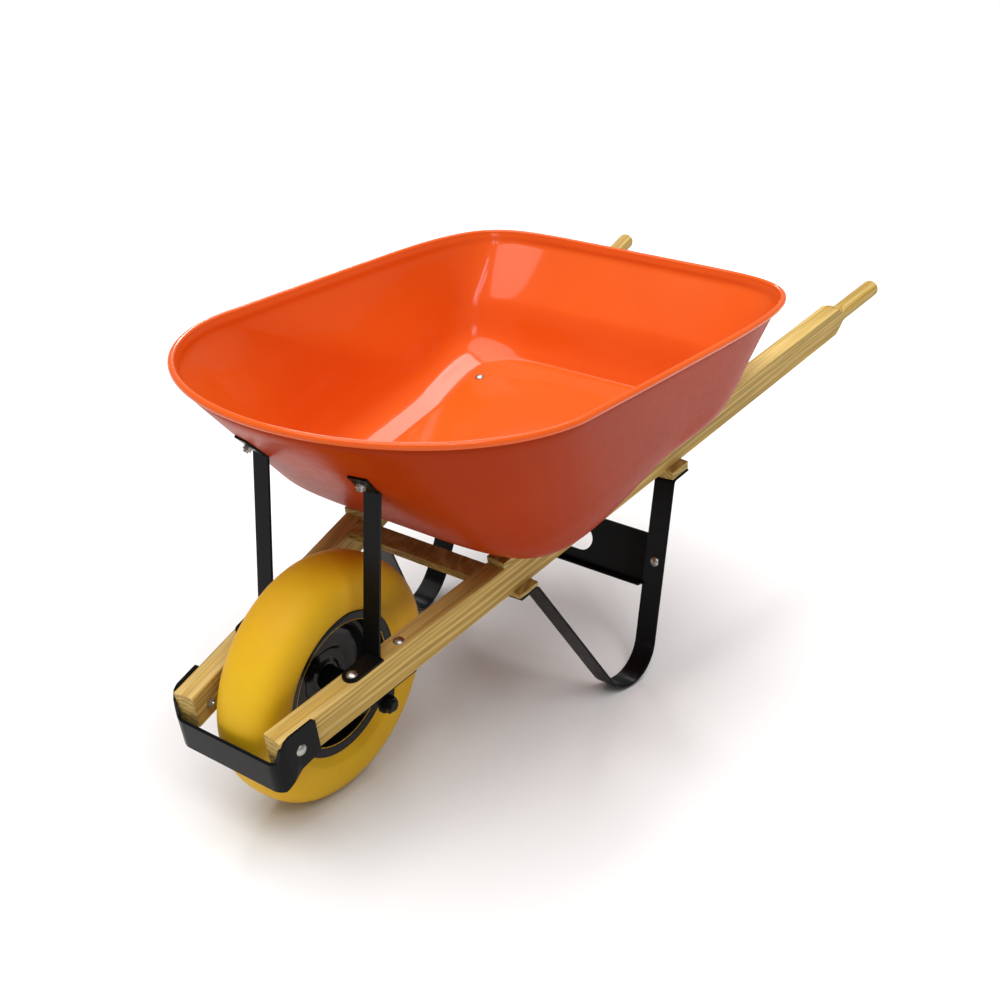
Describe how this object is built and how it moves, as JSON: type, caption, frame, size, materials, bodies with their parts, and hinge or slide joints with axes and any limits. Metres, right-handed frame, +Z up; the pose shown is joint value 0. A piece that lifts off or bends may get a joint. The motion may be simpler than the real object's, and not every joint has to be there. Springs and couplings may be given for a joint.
{
  "type": "wheelbarrow",
  "caption": "Wheelbarrow: pressed steel tray bolted to splayed wooden handles, flat-bar legs, front nose guard and a solid foam wheel turning on an axle between the handles",
  "frame": {"origin": "on the ground, at the middle of the bounding box in X and Y", "axes": "+X forward to the wheel, +Y to the operator's left, +Z up"},
  "size_m": [1.6018, 0.7106, 0.6781],
  "materials": {
    "tray_paint": "gloss",
    "black_paint": "semi-gloss",
    "wood": "clear satin",
    "tyre_foam": "smooth satin foam",
    "bush_nylon": "matte",
    "zinc": "zinc plated"
  },
  "bodies": {
    "frame": {"tray": "tray_paint", "handle_left": "wood", "handle_right": "wood", "riser_left": "wood", "riser_right": "wood", "crossbar": "wood", "nose_guard": "black_paint", "axle": "zinc", "spacer_left": "zinc", "spacer_right": "zinc", "axle_bracket_left": "black_paint", "axle_bracket_right": "black_paint", "brace_left": "black_paint", "brace_right": "black_paint", "leg_left": "black_paint", "leg_right": "black_paint", "leg_plate": "black_paint", "leg_block_front_left": "wood", "leg_block_front_right": "wood", "leg_block_rear_left": "wood", "leg_block_rear_right": "wood", "tray_bolts": "zinc", "tray_nuts": "zinc", "brace_bolts": "zinc", "brace_nuts": "zinc", "bracket_bolts": "zinc", "bracket_nuts": "zinc", "guard_bolts": "zinc", "guard_nuts": "zinc", "leg_plate_bolts": "zinc", "leg_plate_nuts": "zinc", "axle_nuts": "zinc"},
    "wheel": {"tyre": "tyre_foam", "rim_left": "black_paint", "rim_right": "black_paint", "hub": "black_paint", "bush_left": "bush_nylon", "bush_right": "bush_nylon", "rim_bolts": "zinc", "rim_nuts": "zinc"}
  },
  "joints": [
    {"name": "wheel_spin", "type": "hinge", "parent": "frame", "child": "wheel", "pos_m": [0.58898, 0, 0.195], "axis": [0, 1, 0], "continuous": true}
  ]
}
